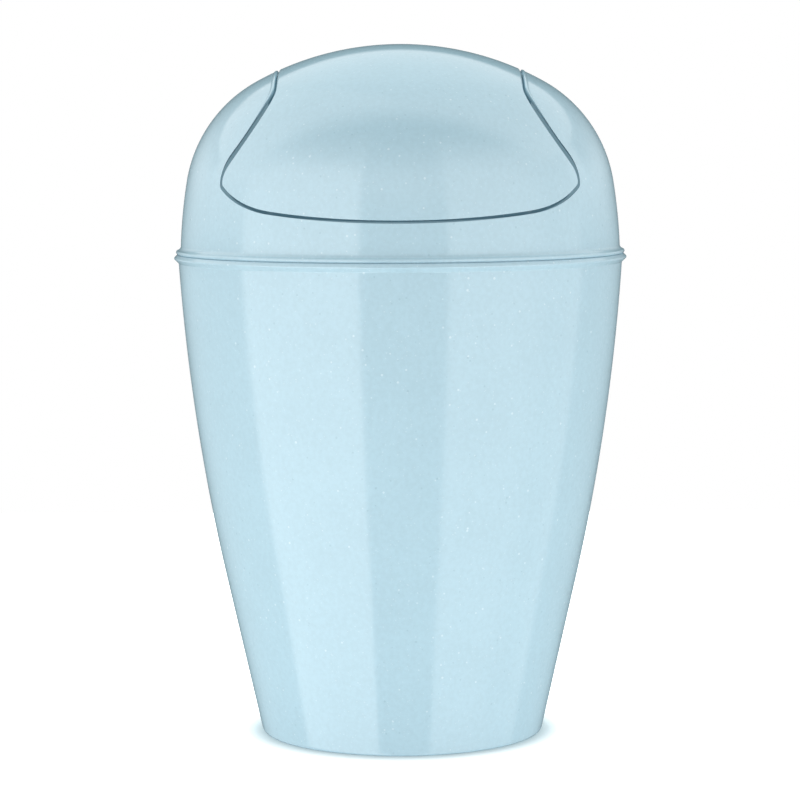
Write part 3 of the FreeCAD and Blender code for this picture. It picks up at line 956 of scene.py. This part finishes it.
def outline_sides(outline):
    """Outward directions at both ends of an outline's segments, smooth but for corners, and its mitres."""
    tangent = unit(np.roll(outline, -1, 0) - outline)
    area = (outline[:, 0] * np.roll(outline[:, 1], -1) - np.roll(outline[:, 0], -1) * outline[:, 1]).sum()
    side = np.stack([tangent[:, 1], -tangent[:, 0]], 1) * np.sign(area)
    before = np.roll(side, 1, 0)
    middle = unit(side + before)
    smooth = ((side * before).sum(1) > math.cos(SHARP_CORNER))[:, None]
    start = np.where(smooth, middle, side)
    end = np.where(np.roll(smooth, -1, 0), np.roll(middle, -1, 0), side)
    return start, end, middle / np.maximum((middle * side).sum(1), 0.5)[:, None]


def strip(skin, first, second):
    """Faces between two rings of as many points, each with its normals at both ends of every segment."""
    ids = [first[0], np.roll(first[0], -1), np.roll(second[0], -1), second[0]]
    skin.cover(np.stack(ids, 1), np.stack([first[1], first[2], second[2], second[1]], 1))


def slab(skin, near, far, near_outline, far_outline, holes, rounding):
    """Plate across the pivot axis with rounded edges, two outlines of as many points, and round holes."""
    rings = []
    bores = []
    for place, outline, facing in ((near, near_outline, -1), (far, far_outline, 1)):
        start, end, mitre = outline_sides(outline)
        rows = []
        for turned in np.linspace(0, math.pi / 2, CORNER_STEPS):
            spots = outline - rounding * (1 - math.sin(turned)) * mitre
            level = np.full(len(spots), place - facing * rounding * (1 - math.cos(turned)))
            across = np.full(len(spots), facing * math.cos(turned))
            normals = [np.column_stack([across, math.sin(turned) * side]) for side in (start, end)]
            rows.append((skin.points(np.column_stack([level, spots])), *normals))
        edge = outline - rounding * mitre
        cuts = [skin.points(np.column_stack([np.full(len(hole), place), hole])) for hole in holes]
        spots = np.concatenate([edge] + holes)
        normals = np.broadcast_to((float(facing), 0.0, 0.0), (len(spots), 3))
        skin.patch(spots, np.concatenate([rows[0][0]] + cuts), normals, edge, holes[0] if holes else None)
        rings += rows if facing < 0 else rows[::-1]
        bores.append(cuts)
    for first, second in zip(rings, rings[1:]):
        strip(skin, first, second)
    for hole, first, second in zip(holes, *bores):
        normals = [np.column_stack([np.zeros(len(hole)), -side]) for side in outline_sides(hole)[:2]]
        strip(skin, (first, *normals), (second, *normals))


def lug_mesh(name, dome, edge, hand):
    """Lug under one ear, with the pin's bore and the stop peg."""
    pivot = owner().bin_pivot
    lid = owner().bin_lid
    axis = edge.flap.pivot_height
    lug_face, lug_back, _, _, web_inner = pivot_places(edge)
    stop = axis - pivot.web_radius - pivot.stop_gap - pivot.stop_peg_radius
    tongue = pivot.stop_tongue_radius
    lean = math.asin(tongue / pivot.lug_radius)
    lower = np.concatenate([
        circle((0, axis), pivot.lug_radius, math.pi, 1.5 * math.pi - lean, LUG_STEPS),
        circle((0, stop), tongue, math.pi, 2 * math.pi, TONGUE_STEPS),
        circle((0, axis), pivot.lug_radius, 1.5 * math.pi + lean, 2 * math.pi, LUG_STEPS),
    ])
    back = np.linspace(pivot.lug_radius, -pivot.lug_radius, LUG_TOP_STEPS)
    outlines = []
    for place in (lug_face, lug_back):
        top = np.column_stack([back, under_dome(dome, place, back, lid.wall / 2)])
        outlines.append(np.concatenate([lower, top]))
    bore = ring((0, axis), pivot.bore_radius, BORE_SIDES)
    skin = Skin()
    slab(skin, lug_face, lug_back, outlines[0], outlines[1], [bore], pivot.edge_round)
    peg = ring((0, stop), pivot.stop_peg_radius, PEG_SIDES)
    peg_start = web_inner - pivot.peg_overlap
    peg_end = lug_face + pivot.lug_thickness / 2
    slab(skin, peg_start, peg_end, peg, peg, [], pivot.edge_round)
    return small_moulding(skin, name, hand)


def web_mesh(name, dome, edge, hand):
    """Web under one side of the flap's neck, with the pin's boss and the edges that meet the stop peg."""
    pivot = owner().bin_pivot
    lid = owner().bin_lid
    axis = edge.flap.pivot_height
    _, _, boss_end, web_outer, web_inner = pivot_places(edge)
    drop = pivot.web_radius + pivot.stop_gap + pivot.stop_peg_radius
    reach = drop + pivot.stop_arm
    peg_angle = math.asin((pivot.stop_peg_radius + pivot.stop_clearance) / drop)
    low = pivot.swing_limit + peg_angle - math.pi / 2
    middle = (web_inner + web_outer) / 2
    tries = 400
    turned = np.linspace(low, math.pi / 2, tries)
    arm = circle((0, axis), reach, low, math.pi / 2, tries)
    under = arm[:, 1] < under_dome(dome, middle, arm[:, 0], lid.wall / 2)
    high = float(turned[under].max())
    right = circle((0, axis), reach, low, high, ARM_STEPS)
    round_part = circle((0, axis), pivot.web_radius, math.pi - low, 2 * math.pi + low, WEB_STEPS)
    back = np.linspace(right[-1, 0], -right[-1, 0], WEB_TOP_STEPS)[1:-1]
    outlines = []
    for place in (web_inner, web_outer):
        top = np.column_stack([back, under_dome(dome, place, back, lid.wall / 2)])
        outlines.append(np.concatenate([right, top, right[::-1] * (-1, 1), round_part]))
    bore = ring((0, axis), pivot.bore_radius, BORE_SIDES)
    boss = ring((0, axis), pivot.boss_radius, BOSS_SIDES)
    skin = Skin()
    slab(skin, web_inner, web_outer, outlines[0], outlines[1], [bore], pivot.edge_round)
    slab(skin, web_outer - pivot.web_thickness / 2, boss_end, boss, boss, [bore], pivot.edge_round)
    return small_moulding(skin, name, hand)


def small_moulding(skin, name, hand):
    """Mesh of a moulding under an ear, mirrored for the left side."""
    if hand < 0:
        skin.spots = [spots * (-1, 1, 1) for spots in skin.spots]
        skin.faces = [(ids, normals * (-1, 1, 1), finish) for ids, normals, finish in skin.faces]
    return skin.mesh(name)


class Wire:
    """Output of a shader node; an expression on wires and numbers adds the nodes that it stands for."""

    def __init__(self, tree, socket=None):
        self.tree = tree
        self.socket = socket

    def node(self, kind, settings, sockets, output=0):
        """Add a node: its settings first, then a value or a link for each of its sockets."""
        made = self.tree.nodes.new(kind)
        for name, value in settings.items():
            setattr(made, name, value)
        for name, value in sockets.items():
            if isinstance(value, Wire):
                self.tree.links.new(value.socket, made.inputs[name])
            else:
                made.inputs[name].default_value = value
        return Wire(self.tree, made.outputs[output] if made.outputs else None)

    def math(self, operation, first, second):
        return self.node("ShaderNodeMath", {"operation": operation}, {0: first, 1: second})

    def __add__(self, other):
        return self.math("ADD", self, other)

    __radd__ = __add__

    def __sub__(self, other):
        return self.math("SUBTRACT", self, other)

    def __rsub__(self, other):
        return self.math("SUBTRACT", other, self)

    def __mul__(self, other):
        return self.math("MULTIPLY", self, other)

    __rmul__ = __mul__

    def __gt__(self, other):
        return self.math("GREATER_THAN", self, other)

    def steps(self, low, high):
        """Smooth rise from 0 to 1 between two values."""
        return self.node("ShaderNodeMapRange", {"interpolation_type": "SMOOTHSTEP"},
                         {"Value": self, "From Min": low, "From Max": high})

    def parts(self, vector):
        """The three parts of a vector."""
        first = self.node("ShaderNodeSeparateXYZ", {}, {"Vector": vector})
        return [Wire(self.tree, output) for output in first.socket.node.outputs]

    def mixed(self, first, second):
        """Colour between two colours, with this wire as the factor."""
        return self.node("ShaderNodeMix", {"data_type": "RGBA"}, {0: self, 6: first, 7: second}, 2)


    def blended(self, first, second):
        """Shader between two shaders, with this wire as the factor."""
        return self.node("ShaderNodeMixShader", {}, {0: self, 1: first, 2: second})

    def ray(self, kind):
        """1 for light rays of one kind, and 0 for the others."""
        return self.node("ShaderNodeLightPath", {}, {}, kind)

    def bumped(self, amount, distance):
        """Normal of a surface with this wire as its relief."""
        return self.node("ShaderNodeBump", {}, {"Strength": amount, "Distance": distance, "Height": self})


def new_material(name):
    material = bpy.data.materials.new(name)
    material.use_nodes = True
    tree = material.node_tree
    tree.nodes.clear()
    return material, Wire(tree)


def scaled(tint, factor):
    """A colour made deeper or paler."""
    return [min(1.0, channel * factor) for channel in tint[:3]] + [1.0]


def flecks(wire, place, cell, kind):
    """Mask of round flecks of one kind, at most one in each cell, of random size."""
    cells_filled, small, large, shown = kind
    settings = {"voronoi_dimensions": "3D", "feature": "F1"}
    sockets = {"Vector": place, "Scale": 1 / cell}
    cells = wire.node("ShaderNodeTexVoronoi", settings, sockets, "Distance")
    tint = Wire(wire.tree, cells.socket.node.outputs["Color"])
    parts = wire.node("ShaderNodeSeparateColor", {"mode": "RGB"}, {"Color": tint}, "Red")
    other = Wire(wire.tree, parts.socket.node.outputs["Green"])
    radius = small / cell + (large - small) / cell * other
    core = (radius - cells).steps(0.0, small / cell * FLECK_RIM)
    return core * (parts > 1 - cells_filled) * shown


def speckled_plastic(inner=False):
    """Glossy pale blue moulding with fine flecks; inner faces carry a faint painted glow that stands in for
    light through the wall.
    """
    name = "speckled_plastic_inside" if inner else "speckled_plastic_look"
    found = bpy.data.materials.get(name)
    if found:
        return found
    look = owner().bin_plastic
    material, wire = new_material(name)
    place = wire.node("ShaderNodeTexCoord", {}, {}, "Object")
    offset = wire.node("ShaderNodeVectorMath", {"operation": "ADD"}, {0: place, 1: FLECK_SHIFT})
    cloud = wire.node("ShaderNodeTexNoise", {}, {"Vector": place, **CLOUD})
    drift = wire.node("ShaderNodeTexNoise", {}, {"Vector": place, **DRIFT})
    white = flecks(wire, place, look.fleck_size, LARGE_WHITE)
    dust = flecks(wire, offset, look.dust_size, SMALL_WHITE)
    grey = flecks(wire, offset, look.fleck_size * GREY_CELL, LARGE_GREY)
    mottle = (cloud * CLOUD_SHARE + drift * (1 - CLOUD_SHARE)).steps(0.3, 0.7)
    tone = mottle.mixed(scaled(look.base, DEEP_TONE), scaled(look.base, PALE_TONE))
    tone = dust.mixed(tone, tuple(look.light_fleck))
    tone = grey.mixed(tone, tuple(look.dark_fleck))
    tone = white.mixed(tone, tuple(look.light_fleck))
    gloss = look.roughness - GLOSS_SPREAD / 2 + cloud * GLOSS_SPREAD
    # Painted glow: inner faces give off a little pale blue light of their own
    shader = wire.node("ShaderNodeBsdfPrincipled", {}, {
        "Base Color": tone, "Roughness": gloss, "Normal": cloud.bumped(0.06, 0.0002), "IOR": MOULDING_IOR,
        "Emission Color": tuple(look.through), "Emission Strength": look.glow if inner else 0.0})
    wire.node("ShaderNodeOutputMaterial", {}, {"Surface": shader})
    return material


def pin_plastic():
    """Plain pale grey low-friction plastic with a fine moulded grain."""
    look = owner().bin_plastic
    material, wire = new_material("pin_plastic_look")
    place = wire.node("ShaderNodeTexCoord", {}, {}, "Object")
    grain = wire.node("ShaderNodeTexNoise", {}, {"Vector": place, **PIN_GRAIN})
    tone = grain.steps(0.35, 0.65).mixed(scaled(look.pin, PIN_DEEP_TONE), tuple(look.pin))
    gloss = PIN_ROUGHNESS + grain * PIN_GLOSS_SPREAD
    shader = wire.node("ShaderNodeBsdfPrincipled", {}, {
        "Base Color": tone, "Roughness": gloss, "Normal": grain.bumped(0.1, 0.0001), "IOR": PIN_IOR})
    wire.node("ShaderNodeOutputMaterial", {}, {"Surface": shader})
    return material


class FinishPins(bpy.types.Operator):
    """Give the two pivot pins their plain grey finish"""
    bl_idname = "swing_lid_bin.pins"
    bl_label = "Pivot pins"

    def execute(self, context):
        material = pin_plastic()
        for name in ("pivot_pin_left", "pivot_pin_right"):
            node = frame["nodes"][name]
            node.data.materials.clear()
            node.data.materials.append(material)
        return {"FINISHED"}


class SetStage(bpy.types.Operator):
    """Set the pale floor, the soft lights and the camera"""
    bl_idname = "swing_lid_bin.stage"
    bl_label = "Stage"

    def execute(self, context):
        look = context.scene.bin_stage
        context.scene.view_settings.view_transform = "Standard"
        self.surroundings(context.scene, look)
        self.floor(look)
        self.softbox("left_light", -1, look.left_light)
        self.softbox("right_light", 1, look.right_light)
        self.camera(context.scene, look)
        return {"FINISHED"}

    def surroundings(self, scene, look):
        """White to the camera, panels and gaps in reflections, and soft light from the sides and above."""
        world = bpy.data.worlds.new("pale_surroundings")
        world.use_nodes = True
        world.node_tree.nodes.clear()
        wire = Wire(world.node_tree)
        toward = wire.node("ShaderNodeTexCoord", {}, {}, "Generated")
        east, north, up = wire.parts(toward)
        sides = self.backdrop(wire, tuple(look.side_tint), look.ambient)
        front_roof = self.backdrop(wire, tuple(look.front_tint), look.overhead)
        back_roof = self.backdrop(wire, tuple(look.back_tint), look.back_gain * look.overhead)
        roof = north.steps(-0.4, 0.6).blended(front_roof, back_roof)
        plain = up.steps(0.2, 0.8).blended(sides, roof)
        dark = self.backdrop(wire, tuple(look.gap_tint), look.gap)
        panel = self.backdrop(wire, WHITE, look.panel)
        room = self.panels(wire, east, north, up).blended(dark, panel)
        shown = wire.ray("Is Glossy Ray").blended(plain, room)
        direct = wire.ray("Is Camera Ray") + wire.ray("Is Transmission Ray")
        final = direct.blended(shown, self.backdrop(wire, WHITE, 1.0))
        wire.node("ShaderNodeOutputWorld", {}, {"Surface": final})
        scene.world = world

    @staticmethod
    def panels(wire, east, north, up):
        """How much of the light panels a reflection sees; azimuths count in radians from the front."""
        rightward = wire.math("ARCTAN2", east, north * -1)
        leftward = rightward * -1
        ahead = north.steps(0.0, -0.5)

        # Where each side panel starts, where its near part ends, and where it fades out behind
        left_start = leftward.steps(0.35, 0.385)
        left_near = leftward.steps(1.60, 1.50)
        left_fade = leftward.steps(3.0, 2.3)
        right_start = rightward.steps(0.40, 0.46)
        right_near = rightward.steps(1.92, 1.82)
        right_fade = rightward.steps(3.0, 2.3)

        # Their far parts: faint beside the body, brighter where the dome's side sees them
        faint = 0.27 + 0.33 * up.steps(-0.05, 0.15) - 0.24 * up.steps(0.15, 0.38)
        raised = (0.80 - faint) * up.steps(0.08, 0.26)
        left_far = faint + raised * leftward.steps(2.16, 2.06)
        right_far = faint - 0.07 + raised * rightward.steps(2.16, 2.06)

        # The side panels, dimmer towards the top
        top = up.steps(0.92, 0.5)
        left_top = up.steps(0.98, 0.22)
        left = left_start * left_fade * (left_near * left_top + (1 - left_near) * left_far * top)
        right = right_start * right_fade * top * (0.57 * right_near + (1 - right_near) * right_far)

        # The panel overhead, with a tilted lower edge on the left
        overhead = up.steps(0.39, 0.43) * north.steps(-0.45, 0.0) * 0.72
        beside = leftward.steps(1.2, 1.6) * leftward.steps(2.9, 2.5)
        tilted = (up - 0.177 * leftward).steps(-0.082, -0.060) * beside * 0.84

        # A weak fill from the front, stronger between the two side panels
        between = (1 - left_start) * (1 - right_start) * ahead
        fill = ahead * up.steps(0.65, 0.35) * 0.2
        fill = fill + between * up.steps(0.14, 0.3) * up.steps(0.85, 0.5) * 0.28

        lit = wire.math("MAXIMUM", left + right, wire.math("MAXIMUM", overhead, tilted))
        return wire.math("MINIMUM", wire.math("MINIMUM", lit, 1.0) + fill, 1.0)

    @staticmethod
    def backdrop(wire, tint, brightness):
        return wire.node("ShaderNodeBackground", {}, {"Color": tint, "Strength": brightness})

    @staticmethod
    def lifted(wire, surface, brightness):
        """A surface with some light of its own."""
        light = wire.node("ShaderNodeEmission", {}, {"Color": WHITE, "Strength": brightness})
        return wire.node("ShaderNodeAddShader", {}, {0: surface, 1: light})

    def floor(self, look):
        """Pale floor that keeps the bin's soft shadow, deepened close to the foot by a painted shadow."""
        data = bpy.data.meshes.new("floor")
        corners = [(-1, -1), (1, -1), (1, 1), (-1, 1)]
        data.from_pydata([(east * FLOOR_HALF, north * FLOOR_HALF, 0) for east, north in corners],
                         [], [(0, 1, 2, 3)])
        material, wire = new_material("pale_floor")
        matt = wire.node("ShaderNodeBsdfDiffuse", {}, {"Color": tuple(look.floor_tint)})
        painted_floor_shade = wire.node("ShaderNodeBsdfDiffuse", {}, {"Color": tuple(look.painted_shadow_tint)})
        place = wire.node("ShaderNodeTexCoord", {}, {}, "Object")
        away = wire.node("ShaderNodeVectorMath", {"operation": "LENGTH"}, {0: place}, "Value")
        bounce = self.lifted(wire, matt, look.floor_bounce)
        open_floor = self.lifted(wire, matt, look.floor_lift)
        # Painted shadow: close to the foot the camera sees the darker floor without its own light
        seen = away.steps(*PAINTED_SHADOW_REACH).blended(painted_floor_shade, open_floor)
        shown = wire.ray("Is Camera Ray").blended(bounce, seen)
        wire.node("ShaderNodeOutputMaterial", {}, {"Surface": shown})
        data.materials.append(material)
        floor = bpy.data.objects.new("floor", data)
        owner().collection.objects.link(floor)
        floor.visible_glossy = False

    @staticmethod
    def softbox(name, side, radiance):
        """Rectangular soft light on one side that stays out of reflections."""
        light = bpy.data.lights.new(name, "AREA")
        light.shape = "RECTANGLE"
        light.size = LIGHT_WIDTH
        light.size_y = LIGHT_HEIGHT
        light.energy = radiance * math.pi * LIGHT_WIDTH * LIGHT_HEIGHT
        lamp = bpy.data.objects.new(name, light)
        lamp.location = (side * LIGHT_PLACE[0], *LIGHT_PLACE[1:])
        toward = Vector(LIGHT_AIM) - lamp.location
        lamp.rotation_euler = toward.to_track_quat("-Z", "Y").to_euler()
        lamp.visible_camera = False
        lamp.visible_glossy = False
        owner().collection.objects.link(lamp)

    @staticmethod
    def camera(scene, look):
        """Camera at the photograph's place and angle."""
        data = bpy.data.cameras.new("camera")
        data.sensor_width = SENSOR_WIDTH
        data.lens = look.focal_pixels * SENSOR_WIDTH / PHOTO_WIDTH
        camera = bpy.data.objects.new("camera", data)
        place = Matrix.Translation((look.camera_aside, -look.camera_distance, look.camera_height))
        pitch = Matrix.Rotation(math.pi / 2 - look.camera_tilt, 4, "X")
        roll = Matrix.Rotation(look.camera_roll, 4, "Z")
        camera.matrix_world = place @ pitch @ roll
        scene.collection.objects.link(camera)
        scene.camera = camera


class BinPanel(bpy.types.Panel):
    """Sizes, colours and steps of the swing lid bin"""
    bl_idname = "VIEW3D_PT_swing_lid_bin"
    bl_label = "Swing lid bin"
    bl_space_type = "VIEW_3D"
    bl_region_type = "UI"
    bl_category = "Swing lid bin"

    def draw(self, context):
        for name, label, group in GROUPS:
            box = self.layout.box()
            box.label(text=label)
            for entry in group.__annotations__:
                box.prop(getattr(context.scene, name), entry)
        for step in STEPS:
            self.layout.operator(step.bl_idname)


GROUPS = (
    ("bin_body", "Body", BodySizes),
    ("bin_lid", "Lid", LidSizes),
    ("bin_flap", "Flap", FlapSizes),
    ("bin_pivot", "Pivots", PivotSizes),
    ("bin_plastic", "Plastic", PlasticLook),
    ("bin_stage", "Stage", StageLook),
)
STEPS = (BuildBody, BuildLid, BuildFlap, FinishPins, SetStage)


def register():
    for name, _, group in GROUPS:
        bpy.utils.register_class(group)
        setattr(bpy.types.Scene, name, PointerProperty(type=group))
    for step in STEPS:
        bpy.utils.register_class(step)
    bpy.utils.register_class(BinPanel)


def unregister():
    bpy.utils.unregister_class(BinPanel)
    for step in reversed(STEPS):
        bpy.utils.unregister_class(step)
    for name, _, group in reversed(GROUPS):
        delattr(bpy.types.Scene, name)
        bpy.utils.unregister_class(group)


def main():
    register()
    bpy.ops.swing_lid_bin.body()
    bpy.ops.swing_lid_bin.lid()
    bpy.ops.swing_lid_bin.flap()
    bpy.ops.swing_lid_bin.pins()
    bpy.ops.swing_lid_bin.stage()


if __name__ == "__main__":
    main()
